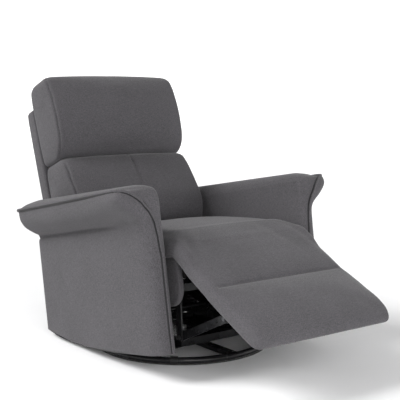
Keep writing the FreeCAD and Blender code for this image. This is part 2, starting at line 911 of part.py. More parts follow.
def bar(start, end, x0, x1):
    """A flat bar with round ends between two points of the chair's side view."""
    (y0, z0), (y1, z1) = start, end
    length = math.hypot(y1 - y0, z1 - z0)
    side_y = -(z1 - z0) / length * link_width / 2
    side_z = (y1 - y0) / length * link_width / 2
    web = plate_yz(
        [
            (y0 + side_y, z0 + side_z), (y1 + side_y, z1 + side_z),
            (y1 - side_y, z1 - side_z), (y0 - side_y, z0 - side_z),
        ],
        x0,
        x1,
    )
    ends = [rod(x0, x1, y, z, link_width / 2) for y, z in (start, end)]
    return joined([web] + ends)


knee_pin = rod(link_b_inner, link_a_outer, knee_y, knee_z, pin_radius)
knee_head = rod(link_b_inner - link_gap, link_b_inner, knee_y, knee_z, pin_head_radius)
knee_pins = joined([knee_pin, knee_head])
link_pin = rod(link_a_inner, board_inner, link_pivot_y, link_pivot_z, pin_radius)
rear_link = bar((link_pivot_y, link_pivot_z), (knee_y, knee_z), link_a_inner, link_a_outer)
rear_link = rear_link.cut(knee_pins).cut(link_pin)
front_link = bar((knee_y, knee_z), (foot_y, foot_z), link_b_inner, link_b_outer)
front_length = math.hypot(foot_y - knee_y, foot_z - knee_z)
for away in (spare_hole_from_end, spare_hole_from_end + spare_hole_pitch):
    share = 1 - away / front_length
    hole_y = knee_y + (foot_y - knee_y) * share
    hole_z = knee_z + (foot_z - knee_z) * share
    front_link = front_link.cut(rod(link_b_inner, link_b_outer, hole_y, hole_z, spare_hole_radius))
for y, z in ((knee_y, knee_z), (foot_y, foot_z)):
    front_link = front_link.cut(rod(link_b_inner, link_b_outer, y, z, pin_radius + pin_clearance))
for name, rear, front in zip(("left", "right"), both(rear_link), both(front_link)):
    export("footrest_rear_link_" + name, chair(rear))
    export("footrest_front_link_" + name, chair(front))
export("link_pins", chair(group(both(knee_pins) + both(link_pin))))
torque_bore = torque_tube_radius - torque_tube_wall
torque_tube = rod(-link_a_inner, link_a_inner, link_pivot_y, link_pivot_z, torque_tube_radius)
torque_tube = torque_tube.cut(
    rod(-link_a_inner, link_a_inner, link_pivot_y, link_pivot_z, torque_bore)
)
export("torque_tube", chair(torque_tube))

# Back frame, hinge plates and pins
frame_rear_y = back_front_y + back_frame_thickness
post_box = box(
    back_half_width - back_rail, back_half_width, back_front_y, frame_rear_y,
    back_frame_bottom, back_top,
)
for name, one in zip(("left", "right"), both(post_box)):
    export("back_post_" + name, back(one))
rail_half = back_half_width - back_rail
back_rails = (
    ("bottom", back_frame_bottom),
    ("middle", (back_frame_bottom + back_top - back_rail) / 2),
    ("top", back_top - back_rail),
)
for name, z in back_rails:
    rail = box(-rail_half, rail_half, back_front_y, frame_rear_y, z, z + back_rail)
    export("back_rail_" + name, back(rail))

lean = math.radians(back_lean)
hinge_back_y = hinge_y * math.cos(lean) - hinge_z * math.sin(lean)
hinge_back_z = hinge_y * math.sin(lean) + hinge_z * math.cos(lean)
plate_x0 = back_half_width
plate_x1 = back_half_width + hinge_plate
hinge_arm = plate_yz(
    [
        (back_front_y, hinge_plate_top), (frame_rear_y, hinge_plate_top),
        (frame_rear_y, back_frame_bottom), (hinge_back_y + hinge_boss_radius, hinge_back_z),
        (hinge_back_y - hinge_boss_radius, hinge_back_z), (back_front_y, back_frame_bottom),
    ],
    plate_x0,
    plate_x1,
)
hinge_eye = rod(plate_x0, plate_x1, hinge_back_y, hinge_back_z, hinge_boss_radius)
hinge_bore = rod(
    plate_x0, plate_x1, hinge_back_y, hinge_back_z, hinge_pin_radius + pin_clearance
)
for name, plate in zip(("left", "right"), both(joined([hinge_arm, hinge_eye]).cut(hinge_bore))):
    export("back_hinge_plate_" + name, back(plate))
hinge_head_x = plate_x1 + link_gap
hinge_pin = rod(board_inner, hinge_head_x, hinge_y, hinge_z, hinge_pin_radius)
hinge_head = rod(
    hinge_head_x, hinge_head_x + screw_head_height, hinge_y, hinge_z, hinge_head_radius
)
export("back_hinge_pins", chair(group(both(joined([hinge_pin, hinge_head])))))

# Upholstered back shell: rear panel, side and top returns, narrow skirt between the side boards
cover_x = plate_x1 + cover_side
cover_rear_y = frame_rear_y + cover_thickness
shell_top = back_top + cover_side
rear_panel = box(-cover_x, cover_x, frame_rear_y, cover_rear_y, cover_wide_bottom, shell_top)
skirt = box(
    -cover_skirt_half_width, cover_skirt_half_width, frame_rear_y, cover_rear_y,
    cover_skirt_bottom, cover_wide_bottom,
)
side_return = box(plate_x1, cover_x, back_front_y, frame_rear_y, cover_wide_bottom, shell_top)
top_return = box(-plate_x1, plate_x1, back_front_y, frame_rear_y, back_top, shell_top)
export("back_shell", back(joined([rear_panel, skirt, top_return] + both(side_return))))


# Back cushions: level sections with a crowned front
def back_section(z, half_width, edge_y, crown_y):
    rear_left, rear_right = Vector(-half_width, back_front_y, z), Vector(half_width, back_front_y, z)
    left, right = Vector(-half_width, edge_y, z), Vector(half_width, edge_y, z)
    return Part.Wire(
        [
            Part.makeLine(rear_left, rear_right),
            Part.makeLine(rear_right, right),
            Part.Arc(right, Vector(0, crown_y, z), left).toShape(),
            Part.makeLine(left, rear_left),
        ]
    )


lumbar_side = lumbar_half_width - lumbar_side_tuck
lumbar_end = lumbar_half_width - lumbar_end_tuck
lumbar_shape = [
    (lumbar_bottom, lumbar_end, lumbar_low_edge, lumbar_low_crown),
    (lumbar_bottom + lumbar_belly_up, lumbar_half_width, lumbar_belly_edge, lumbar_belly_crown),
    (lumbar_bottom + lumbar_rise_up, lumbar_side, lumbar_rise_edge, lumbar_rise_crown),
    (lumbar_top - lumbar_neck_down, lumbar_side, lumbar_neck_edge, lumbar_neck_crown),
    (lumbar_top, lumbar_end, lumbar_top_edge, lumbar_top_crown),
]
head_bottom = lumbar_top + head_gap
head_side = head_half_width - head_side_tuck
head_shape = [
    (head_bottom, head_half_width - head_low_tuck, head_low_edge, head_low_crown),
    (head_bottom + head_roll_up, head_side, head_roll_edge, head_roll_crown),
    (head_bottom + head_swell_up, head_half_width, head_swell_edge, head_swell_crown),
    (head_bottom + head_full_up, head_half_width, head_full_edge, head_full_crown),
    (head_top - head_brow_down, head_side, head_brow_edge, head_brow_crown),
    (head_top, head_half_width - head_top_tuck, head_top_edge, head_top_crown),
]
for name, shape in (("lumbar_cushion", lumbar_shape), ("head_cushion", head_shape)):
    sections = [back_section(z, half, edge, edge - crown_over) for z, half, edge, crown_over in shape]
    export(name, back(lofted(sections)))
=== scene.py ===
import math
import bmesh
import bpy
import numpy as np
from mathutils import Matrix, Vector


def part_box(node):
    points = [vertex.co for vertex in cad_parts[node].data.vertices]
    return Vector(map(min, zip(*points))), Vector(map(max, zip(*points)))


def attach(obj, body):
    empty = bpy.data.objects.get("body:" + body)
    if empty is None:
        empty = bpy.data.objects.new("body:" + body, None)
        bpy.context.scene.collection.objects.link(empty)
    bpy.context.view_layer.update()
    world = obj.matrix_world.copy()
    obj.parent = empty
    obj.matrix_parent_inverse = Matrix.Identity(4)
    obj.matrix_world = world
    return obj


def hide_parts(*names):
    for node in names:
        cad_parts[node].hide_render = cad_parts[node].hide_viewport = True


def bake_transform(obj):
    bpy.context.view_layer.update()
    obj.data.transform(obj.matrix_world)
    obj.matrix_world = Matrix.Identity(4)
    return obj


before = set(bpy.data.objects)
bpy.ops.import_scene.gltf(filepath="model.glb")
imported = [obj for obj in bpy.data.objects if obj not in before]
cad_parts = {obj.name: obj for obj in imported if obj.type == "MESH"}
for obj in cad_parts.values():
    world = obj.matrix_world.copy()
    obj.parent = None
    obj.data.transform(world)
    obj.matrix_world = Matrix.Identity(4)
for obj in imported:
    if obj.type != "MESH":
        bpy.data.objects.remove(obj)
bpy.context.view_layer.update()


# Floor ring with its cross of spokes: bent steel tube and flat bars, welded, sprayed in
# gloss black enamel. The rocker base above it is welded and sprayed in the same shop.
class Wire:
    """A socket of a finish; sums and products of wires become Math nodes."""

    def __init__(self, finish, socket):
        self.finish = finish
        self.socket = socket

    def maths(self, operation, first, second):
        return self.finish.node("ShaderNodeMath", {"operation": operation}, {0: first, 1: second})

    def __add__(self, other):
        return self.maths("ADD", self, other)

    def __radd__(self, other):
        return self.maths("ADD", other, self)

    def __sub__(self, other):
        return self.maths("SUBTRACT", self, other)

    def __rsub__(self, other):
        return self.maths("SUBTRACT", other, self)

    def __mul__(self, other):
        return self.maths("MULTIPLY", self, other)

    def __rmul__(self, other):
        return self.maths("MULTIPLY", other, self)


class Finish:
    """A surface finish: one shader, its plain values on its own sockets."""

    def __init__(self, name, **plain):
        self.material = bpy.data.materials.new(name)
        self.material.use_nodes = True
        self.tree = self.material.node_tree
        self.shader = self.tree.nodes["Principled BSDF"]
        for socket, value in plain.items():
            self.shader.inputs[socket.replace("_", " ")].default_value = value

    def node(self, kind, settings=None, inputs=None, out=0):
        made = self.tree.nodes.new(kind)
        for key, value in (settings or {}).items():
            setattr(made, key, value)
        for key, value in (inputs or {}).items():
            if isinstance(value, Wire):
                self.tree.links.new(value.socket, made.inputs[key])
            else:
                made.inputs[key].default_value = value
        return Wire(self, made.outputs[out])

    def place(self):
        return self.node("ShaderNodeTexCoord", out="Object")

    def stretched(self, place, scale):
        return self.node("ShaderNodeVectorMath", {"operation": "MULTIPLY"}, {0: place, 1: scale})

    def grain(self, place, scale, detail=2.0, rough=0.5):
        return self.node(
            "ShaderNodeTexNoise", None,
            {"Vector": place, "Scale": scale, "Detail": detail, "Roughness": rough}, "Fac",
        )

    def between(self, low, high, factor):
        return self.node(
            "ShaderNodeMix", {"data_type": "RGBA"}, {0: factor, 6: (*low, 1.0), 7: (*high, 1.0)}, 2
        )

    def bump(self, height, depth, strength):
        return self.node(
            "ShaderNodeBump", None, {"Height": height, "Distance": depth, "Strength": strength}
        )

    def feed(self, **wires):
        for socket, wire in wires.items():
            self.tree.links.new(wire.socket, self.shader.inputs[socket.replace("_", " ")])


def dress(finish, *nodes):
    """Give carried-over steel, wood and plastic nodes their finish."""
    for node in nodes:
        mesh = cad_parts[node].data
        mesh.materials.clear()
        mesh.materials.append(finish.material)


black_enamel = Finish("black_enamel", Coat_Weight=0.07, Coat_Roughness=0.08, Specular_IOR_Level=0.2)
here = black_enamel.place()
orange_peel = black_enamel.grain(here, 420.0, 3.0)
dust = black_enamel.grain(here, 14.0, 5.0, 0.65)
black_enamel.feed(
    Base_Color=black_enamel.between((0.004, 0.004, 0.0045), (0.013, 0.013, 0.014), dust),
    Roughness=0.16 + dust * 0.2,
    Normal=black_enamel.bump(orange_peel, 0.0004, 0.12),
)
dress(black_enamel, "base_ring", "base_spokes", "hub_plate")

# Strip under the ring and clips on it: extruded rubber with a dull bloom, and moulded black
# nylon that snaps over the tube. Both are pushed on by hand.
strip_rubber = Finish("strip_rubber", Specular_IOR_Level=0.3)
here = strip_rubber.place()
bloom = strip_rubber.grain(here, 60.0, 4.0)
strip_rubber.feed(
    Base_Color=strip_rubber.between((0.012, 0.012, 0.012), (0.04, 0.04, 0.038), bloom),
    Roughness=0.7 + bloom * 0.25,
    Normal=strip_rubber.bump(strip_rubber.grain(here, 900.0), 0.0003, 0.3),
)
moulded_nylon = Finish("moulded_nylon", Specular_IOR_Level=0.25)
here = moulded_nylon.place()
spark = moulded_nylon.grain(here, 1500.0, 2.0)
moulded_nylon.feed(
    Base_Color=moulded_nylon.between(
        (0.006, 0.006, 0.0065), (0.012, 0.012, 0.0125), moulded_nylon.grain(here, 35.0)
    ),
    Roughness=0.42 + spark * 0.2,
    Normal=moulded_nylon.bump(spark, 0.0002, 0.35),
)
dress(strip_rubber, "floor_strip")
dress(moulded_nylon, "ring_clips")

# Swivel: two pressed ball races, loose balls, a centre bolt and its nut, zinc plated and
# lightly greased. The bolt clamps the rocker base down on the races.
zinc_plate = Finish("zinc_plate", Metallic=1.0)
here = zinc_plate.place()
brushed = zinc_plate.grain(zinc_plate.stretched(here, (60.0, 900.0, 900.0)), 1.0, 3.0)
spangle = zinc_plate.grain(here, 55.0, 4.0)
zinc_plate.feed(
    Base_Color=zinc_plate.between((0.42, 0.42, 0.43), (0.66, 0.66, 0.65), spangle),
    Roughness=0.24 + brushed * 0.2,
    Normal=zinc_plate.bump(brushed, 0.0002, 0.2),
)
dress(
    zinc_plate, "swivel_lower_race", "swivel_upper_race", "swivel_balls", "swivel_bolt", "swivel_nut",
)

# Rocker base: square steel tubes welded on a plate, with bearing brackets for the shaft.
# The cross bars keep the two sides square.
dress(
    black_enamel, "swivel_plate", "rocker_side_tube_left", "rocker_side_tube_right",
    "rocker_cross_bars", "bearing_brackets",
)
dress(black_enamel, "rocker_shaft")


# Rocker springs: four coils of drawn steel wire, oiled dark, between the base tubes and the
# seat's cross tubes. They bend as the seat rocks; here each coil is drawn straight between the two.
def new_piece(name, points, faces, finish):
    """A smooth-shaded piece of the scene with its faces turned outward."""
    mesh = bpy.data.meshes.new(name)
    mesh.from_pydata([tuple(p) for p in points], [], faces)
    work = bmesh.new()
    work.from_mesh(mesh)
    bmesh.ops.recalc_face_normals(work, faces=work.faces)
    work.to_mesh(mesh)
    work.free()
    mesh.polygons.foreach_set("use_smooth", [True] * len(mesh.polygons))
    mesh.materials.append(finish.material)
    piece = bpy.data.objects.new(name, mesh)
    bpy.context.scene.collection.objects.link(piece)
    return piece


def ring_faces(rows, count, first=0):
    """Quads between rows of points that close round, with a lid on each end."""
    faces = []
    for row in range(rows - 1):
        for k in range(count):
            a = first + row * count + k
            b = first + row * count + (k + 1) % count
            faces.append((a, b, b + count, a + count))
    last = first + (rows - 1) * count
    faces.append(tuple(range(first + count - 1, first - 1, -1)))
    faces.append(tuple(range(last, last + count)))
    return faces


def tube_along(path, radius, sides, first=0):
    """Points and faces of a round tube along a path."""
    path = np.asarray(path, float)
    ahead = np.gradient(path, axis=0)
    ahead /= np.linalg.norm(ahead, axis=1)[:, None]
    side = np.cross(ahead[0], (0.3, 0.2, 0.93))
    points = []
    for at, along in zip(path, ahead):
        side = side - along * side.dot(along)
        side /= np.linalg.norm(side)
        up = np.cross(along, side)
        for k in range(sides):
            turn = 2 * math.pi * k / sides
            points.append(at + radius * (math.cos(turn) * side + math.sin(turn) * up))
    return points, ring_faces(len(path), sides, first)


spring_steel = Finish("spring_steel", Metallic=1.0)
here = spring_steel.place()
oil = spring_steel.grain(here, 80.0, 4.0)
spring_steel.feed(
    Base_Color=spring_steel.between((0.06, 0.06, 0.065), (0.2, 0.2, 0.21), oil),
    Roughness=0.3 + oil * 0.2,
    Normal=spring_steel.bump(spring_steel.grain(here, 700.0), 0.0002, 0.2),
)
for place in ("front", "rear"):
    node = "rocker_springs_" + place
    low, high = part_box(node)
    centre_y = (low.y + high.y) / 2
    wire, coil_radius, turns, steps = 0.002, 0.014, 5.5, 24
    points, faces = [], []
    for centre_x in (low.x + coil_radius + wire, high.x - coil_radius - wire):
        path = []
        for k in range(int(turns * steps) + 1):
            turn = k / steps
            rise = (high.z - low.z - 2 * wire) * turn / turns
            angle = 2 * math.pi * turn
            path.append(
                (
                    centre_x + coil_radius * math.cos(angle),
                    centre_y + coil_radius * math.sin(angle),
                    low.z + wire + rise,
                )
            )
        more, skin = tube_along(path, wire, 10, len(points))
        points += more
        faces += skin
    coils = new_piece("coils_" + place, points, faces, spring_steel)
    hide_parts(node)
    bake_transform(coils)

# Seat box: plywood side boards and pine rails stained black, sinuous wire springs, steel side
# plates, cross tubes and hangers, glued and screwed. The arms bolt on through spacer blocks, and
# the frame of the back is of the same pine, left raw.
raw_pine = Finish("raw_pine", Specular_IOR_Level=0.3)
here = raw_pine.place()
rings = raw_pine.node(
    "ShaderNodeTexWave", {"wave_type": "BANDS", "bands_direction": "Z"},
    {
        "Vector": raw_pine.stretched(here, (0.15, 1.0, 1.0)), "Scale": 22.0, "Distortion": 7.0,
        "Detail": 3.0, "Detail Scale": 1.4,
    },
    "Fac",
)
fibre = raw_pine.grain(raw_pine.stretched(here, (25.0, 600.0, 600.0)), 1.0, 3.0)
raw_pine.feed(
    Base_Color=raw_pine.between((0.36, 0.22, 0.11), (0.58, 0.41, 0.24), rings * 0.6 + fibre * 0.4),
    Roughness=0.55 + fibre * 0.25,
    Normal=raw_pine.bump(fibre, 0.0004, 0.3),
)
dress(
    raw_pine, "back_post_left", "back_post_right", "back_rail_bottom", "back_rail_middle",
    "back_rail_top",
)
black_stain = Finish("black_stain", Specular_IOR_Level=0.1)
here = black_stain.place()
fibre = black_stain.grain(black_stain.stretched(here, (30.0, 500.0, 500.0)), 1.0, 3.0)
black_stain.feed(
    Base_Color=black_stain.between((0.005, 0.005, 0.005), (0.016, 0.015, 0.0145), fibre),
    Roughness=0.6 + fibre * 0.25,
    Normal=black_stain.bump(fibre, 0.0003, 0.25),
)
dress(black_stain, "arm_spacers", "seat_rail_front", "seat_rail_rear", "footrest_board")
dress(
    black_enamel, "seat_cross_tubes", "rocker_hanger_left", "rocker_hanger_right",
    "mechanism_plate_left", "mechanism_plate_right",
)
dress(spring_steel, "seat_springs")
dress(black_enamel, "arm_screws")


# Covers of the side boards: the chair's own cloth, a dark grey heathered linen look, stapled
# over the plywood with a thin wadding, so that edges are soft.
def grey_linen(name, dark, light):
    """A heathered cloth: threads along each axis, flecks and slow shading."""
    cloth = Finish(name, Sheen_Weight=0.12, Sheen_Roughness=0.45, Specular_IOR_Level=0.18)
    here = cloth.place()
    warp = cloth.grain(cloth.stretched(here, (90.0, 820.0, 820.0)), 1.0, 2.0)
    weft = cloth.grain(cloth.stretched(here, (820.0, 90.0, 820.0)), 1.0, 2.0)
    pick = cloth.grain(cloth.stretched(here, (820.0, 820.0, 90.0)), 1.0, 2.0)
    weave = (warp + weft + pick) * 0.3333
    fleck = cloth.grain(here, 420.0, 3.0, 0.6)
    shade = cloth.grain(here, 7.0, 3.0)
    tone = weave * 3.0 + fleck * 1.3 + shade * 0.3 - 1.8
    cloth.feed(
        Base_Color=cloth.between(dark, light, tone),
        Roughness=0.82 + fleck * 0.16,
        Normal=cloth.bump(weave + fleck * 0.3, 0.0012, 0.6),
    )
    return cloth


cover_cloth = grey_linen("cover_cloth", (0.0325, 0.031, 0.0335), (0.104, 0.0992, 0.1065))

chair_turn = math.radians(10.3)


def from_chair(x, y, z):
    """A point of the chair's level drawing, in millimetres, where it stands leant back."""
    cos, sin = math.cos(chair_turn), math.sin(chair_turn)
    return np.array((x, y * cos + z * sin, z * cos - y * sin)) * 0.001


black_felt = Finish("black_felt", Roughness=1.0, Specular_IOR_Level=0.05)
here = black_felt.place()
fuzz = black_felt.grain(here, 800.0, 3.0)
black_felt.feed(
    Base_Color=black_felt.between((0.006, 0.006, 0.006), (0.02, 0.02, 0.02), fuzz),
    Normal=black_felt.bump(fuzz, 0.0004, 0.4),
)

board_faces = (237.6, 256.6)
nose_radius = 62
board_side = [(-386, 282)]
for step in range(9):
    turn = math.radians(90 * step / 8)
    board_side.append((-324 - nose_radius * math.cos(turn), 219 - nose_radius * math.sin(turn)))
board_side += [(243, 157), (316, 245), (316, 319), (244, 319), (224, 282), (-268, 282)]
board_side += [(-300, 296), (-328, 320), (-346, 328), (-364, 317), (-382, 302)]
for name, side in (("left", 1), ("right", -1)):
    points = []
    for x in board_faces:
        points += [from_chair(side * x, y, z) for y, z in board_side]
    board = new_piece(
        "side_cover_" + name, points, ring_faces(2, len(board_side)), cover_cloth
    )
    board.data.materials.append(black_felt.material)
    for face in board.data.polygons:
        face.material_index = 1 if face.normal.x * side < -0.7 else 0
    soften = board.modifiers.new("soft_edge", "BEVEL")
    soften.width, soften.segments, soften.limit_method = 0.005, 3, "ANGLE"
    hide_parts("seat_side_board_" + name)
    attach(board, "seat")

# Dust lining: black felt stapled between the rear ends of the side boards, which keeps the view
# and the dust out of the mechanism.
lining_half, lining_front, lining_rear = 256, 246, 248
lining_levels = (92, 120, 150, 178, 204)
lining_outline = [(x, lining_front) for x in np.linspace(-lining_half, lining_half, 12)]
lining_outline += [(x, lining_rear) for x in np.linspace(lining_half, -lining_half, 12)]
points = [from_chair(x, y, z) for z in lining_levels for x, y in lining_outline]
lining = new_piece(
    "dust_lining", points, ring_faces(len(lining_levels), len(lining_outline)), black_felt
)
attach(lining, "seat")

# Footrest linkage: flat steel bars on shouldered rivets, a torque tube that makes both sides
# swing together, and brackets screwed to the footrest's board.
dress(
    black_enamel, "footrest_bracket_left", "footrest_bracket_right", "footrest_rear_link_left",
    "footrest_rear_link_right", "footrest_front_link_left", "footrest_front_link_right",
    "torque_tube",
)
dress(spring_steel, "link_pins", "footrest_pins")


# Chaise pad: one long cushion from the back over the seat and down to the footrest's end,
# foam and fibre in the grey cloth, with a sewn line across it where it bends.
def eased(keys, values, at):
    """Smooth values between given ones, through each of them."""
    keys, values, at = (np.asarray(a, float) for a in (keys, values, at))
    steps = np.diff(values) / np.diff(keys)
    slopes = np.empty(len(keys))
    slopes[0], slopes[-1] = steps[0], steps[-1]
    same = steps[:-1] * steps[1:] > 0
    slopes[1:-1] = np.where(same, 2 * steps[:-1] * steps[1:] / (steps[:-1] + steps[1:] + 1e-12), 0)
    k = np.clip(np.searchsorted(keys, at) - 1, 0, len(keys) - 2)
    span = keys[k + 1] - keys[k]
    t = np.clip((at - keys[k]) / span, 0, 1)
    return (
        values[k] * (1 + 2 * t) * (1 - t) ** 2 + slopes[k] * span * t * (1 - t) ** 2
        + values[k + 1] * t * t * (3 - 2 * t) + slopes[k + 1] * span * t * t * (t - 1)
    )


def corner(centre, radius, start, end, count):
    """Points of a rounded corner, with angles in degrees."""
    turns = np.radians(np.linspace(start, end, count))
    return [(centre[0] + radius * math.cos(t), centre[1] + radius * math.sin(t)) for t in turns]


def pad_outline(half, edge, crown, low_round, top_round):
    """Half of a pad's section from the middle of its underside round to the middle of its top."""
    low_round = min(low_round, edge * 0.4)
    top_round = min(top_round, edge * 0.55)
    side = [(x, 0.0) for x in np.linspace(0, half - low_round, 8)]
    side += corner((half - low_round, low_round), low_round, -90, 0, 5)[1:]
    side += corner((half - top_round, edge - top_round), top_round, 0, 68, 6)
    x0, z0 = side[-1]
    for x in np.linspace(x0, 0, 15)[1:]:
        share = x / x0
        side.append((x, z0 + (crown - z0) * (1 - share * share) ** 0.9))
    return side


def drawn(piece):
    """The piece's points as an array."""
    flat = np.empty(len(piece.data.vertices) * 3, np.float32)
    piece.data.vertices.foreach_get("co", flat)
    return flat.reshape(-1, 3).astype(float)


def redraw(piece, points):
    """Move the piece's points to new places."""
    piece.data.vertices.foreach_set("co", np.asarray(points, np.float32).ravel())
    piece.data.update()


def settle(piece):
    """Work the piece's modifiers into its mesh."""
    ready = piece.evaluated_get(bpy.context.evaluated_depsgraph_get())
    mesh = bpy.data.meshes.new_from_object(ready)
    piece.modifiers.clear()
    piece.data = mesh
    piece.data.polygons.foreach_set("use_smooth", [True] * len(mesh.polygons))


def plump(piece, grid, held, limit):
    """Fill a cushion: an even skin, blown up as cloth where it isn't held, then smoothed."""
    frames, evening, kept_share = 20, 12, 0.4
    even = piece.modifiers.new("even_skin", "REMESH")
    even.mode, even.voxel_size = "VOXEL", grid
    settle(piece)
    start = drawn(piece)
    pins = piece.vertex_groups.new(name="held")
    weights = np.clip(held(start), 0, 1)
    for level in np.unique(np.round(weights, 2)):
        chosen = np.nonzero(np.round(weights, 2) == level)[0]
        pins.add(chosen.tolist(), float(level), "REPLACE")
    cloth = piece.modifiers.new("filling", "CLOTH")
    cloth.settings.quality = 4
    cloth.settings.mass = 0.3
    cloth.settings.tension_stiffness = 12.0
    cloth.settings.compression_stiffness = 12.0
    cloth.settings.shear_stiffness = 4.0
    cloth.settings.bending_stiffness = 0.6
    cloth.settings.use_pressure = True
    cloth.settings.uniform_pressure_force = 4.0
    cloth.settings.vertex_group_mass = "held"
    cloth.settings.effector_weights.gravity = 0.0
    cloth.collision_settings.use_collision = False
    for step in range(1, frames + 1):
        bpy.context.scene.frame_set(step)
    ready = piece.evaluated_get(bpy.context.evaluated_depsgraph_get())
    flat = np.empty(len(start) * 3, np.float32)
    ready.data.vertices.foreach_get("co", flat)
    moved = flat.reshape(-1, 3).astype(float) - start
    piece.modifiers.clear()
    piece.vertex_groups.clear()
    bpy.context.scene.frame_set(1)
    far = np.linalg.norm(moved, axis=1)
    moved *= np.where(far > limit, limit / np.maximum(far, 1e-9), 1.0)[:, None]
    ends = np.empty(len(piece.data.edges) * 2, np.int32)
    piece.data.edges.foreach_get("vertices", ends)
    one, two = ends[0::2], ends[1::2]
    count = np.bincount(ends, minlength=len(start))[:, None]
    for _ in range(evening):
        around = np.zeros_like(moved)
        np.add.at(around, one, moved[two])
        np.add.at(around, two, moved[one])
        moved = moved * kept_share + around / count * (1 - kept_share)
    redraw(piece, start + moved)
    smooth = piece.modifiers.new("smooth", "SUBSURF")
    smooth.levels = smooth.render_levels = 1
    settle(piece)


def distance_to(points, line):
    """How far each point is from a line of straight runs."""
    line = np.asarray(line, float)
    best = np.full(len(points), 1e9)
    for a, b in zip(line[:-1], line[1:]):
        run = b - a
        t = np.clip((points - a) @ run / max(run @ run, 1e-12), 0, 1)
        best = np.minimum(best, np.linalg.norm(points - a - t[:, None] * run, axis=1))
    return best


def sew(piece, line, depth, width):
    """Draw the cover in along a seam, deepest on the line."""
    points = drawn(piece)
    away = distance_to(points, line)
    normals = np.empty(len(points) * 3, np.float32)
    piece.data.vertices.foreach_get("normal", normals)
    pull = depth * np.exp(-((away / width) ** 2))
    redraw(piece, points - normals.reshape(-1, 3) * pull[:, None])


foot_lean = 35.5
bend_y, bend_z = -563, 213


def from_footrest(along, up):
    """Chair-drawing place of a point ahead of the sewn line and above it, square to the footrest."""
    turn = math.radians(foot_lean)
    y = -along * math.cos(turn) - up * math.sin(turn) + bend_y
    z = -along * math.sin(turn) + up * math.cos(turn) + bend_z
    return y, z


# place of the underside, lean, half width, edge and crown heights, from the back to the far end
pad_stations = [
    (233, 288, 0, 222, 34, 38), (219, 285, 0, 229, 72, 84), (186, 284, 0, 254, 86, 104),
    (150, 284, 0, 272, 93, 112), (90, 284, 0, 278, 101, 121),
    (-40, 284, 0, 279, 106, 124), (-175, 284, 0, 278, 99, 110), (-270, 288, 5, 277, 85, 90),
    (-325, 310, 17, 277, 64, 66), (-372, 311, 30, 275, 60, 62), (-412, 285, 37, 273, 60, 66),
    (*from_footrest(-112, -38), 36, 272, 50, 64), (*from_footrest(-52, -41), foot_lean, 271, 50, 63),
    (*from_footrest(-14, -44), foot_lean, 270, 51, 54), (*from_footrest(0, -46), foot_lean, 270, 52, 50),
    (*from_footrest(14, -46), foot_lean, 270, 53, 56), (*from_footrest(50, -46), foot_lean, 271, 55, 68),
    (*from_footrest(110, -46), foot_lean, 271, 58, 76), (*from_footrest(170, -46), foot_lean, 271, 59, 72),
    (*from_footrest(212, -46), foot_lean, 270, 54, 62), (*from_footrest(232, -43), foot_lean, 266, 44, 48),
    (*from_footrest(244, -36), foot_lean, 260, 27, 29), (*from_footrest(248, -30), foot_lean, 254, 13, 14),
]
stations = np.array(pad_stations, float)
travel = np.concatenate([[0], np.cumsum(np.hypot(*np.diff(stations[:, :2], axis=0).T))])
pad_rows, pad_low_round, pad_top_round = 110, 12, 22
dense = np.linspace(0, travel[-1], pad_rows)
table = [eased(travel, stations[:, k], dense) for k in range(6)]
points = []
for y, z, lean, half, edge, crown in zip(*table):
    turn = math.radians(lean)
    right = pad_outline(half, edge, crown, pad_low_round, pad_top_round)
    ring = right + [(-x, h) for x, h in right[-2:0:-1]]
    points += [from_chair(x, y - h * math.sin(turn), z + h * math.cos(turn)) for x, h in ring]
pad = new_piece("chaise_pad", points, ring_faces(pad_rows, len(ring)), cover_cloth)
pad_seam_half = 240
pad_seam = [from_chair(x, bend_y, bend_z) for x in np.linspace(-pad_seam_half, pad_seam_half, 24)]
pad_under = [from_chair(0, y, z) for y, z in stations[:, :2]]


def pad_held(points):
    """Held where it lies on the seat box and the footrest board, and along the sewn line."""
    flat = points.copy()
    flat[:, 0] = 0
    low = np.clip(1.6 - distance_to(flat, pad_under) / 0.012, 0, 1)
    return np.maximum(low, np.clip(1.5 - distance_to(points, pad_seam) / 0.008, 0, 1))


swell_limit = 0.022
plump(pad, 0.007, pad_held, swell_limit)
sew(pad, pad_seam, 0.007, 0.0075)
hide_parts("seat_cushion", "calf_pad", "footrest_pad")
from_chair(0, -395, 330)
from_chair(0, -545, 235)
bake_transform(pad)

# Arms: hardwood panels padded with foam, the cloth in two panels that meet in a piped seam
# along the flared edge and down the front. They bolt to the seat box from inside.
arm_front, arm_rear, arm_foot = -385, 326, 21
panel_top, piped_edge, arm_crown = 404, 520, 551
nose_start, nose_round = 471, 80
tuck_level, tuck_width, tuck_depth = 419, 6, 22
roll_level, roll_width, roll_depth = 490, 26, 13
arm_low = ([-400, -191, -61, 108, 240, 345], [arm_foot, arm_foot, 23, 39, 58, 87])
flare = (
    [0, panel_top, 409, 422, 434, 443, 457, 475, 489, piped_edge],
    [356, 356, 357, 361, 372, 387, 405, 417, 422, 424],
)
arm_crest = ([piped_edge, 529, 538, 545, 549.5, arm_crown], [424, 409, 391, 364, 346, 337])
arm_shoulder = (
    [0, 500, 516, 530, 540, 547, 550, arm_crown],
    [288, 288, 291, 298, 307, 318, 328, 335],
)
welt_rows = [
    (424, -318, 520), (423.5, -338, 519.5), (421, -350, 518.5), (410, -362, 516), (396, -368, 510.5),
    (384, -373, 502.5), (371, -378, 491), (357, -382, 477), (347, -384, 464), (335, -385, 451),
    (325, -385, 435), (318, -385, 419), (314, -385, 399), (311, -385, 380), (309, -385, 352),
    (305, -385, 316), (305, -385, 21),
]
welt_x, welt_y, welt_z = zip(*reversed(welt_rows))
inner_steps, heel_steps, front_steps, wrap_steps, outer_steps = 40, 5, 8, 14, 36


def ramp(value, start, end):
    """A share from 0 at the start to 1 at the end."""
    return min(max((value - start) / (end - start), 0), 1)


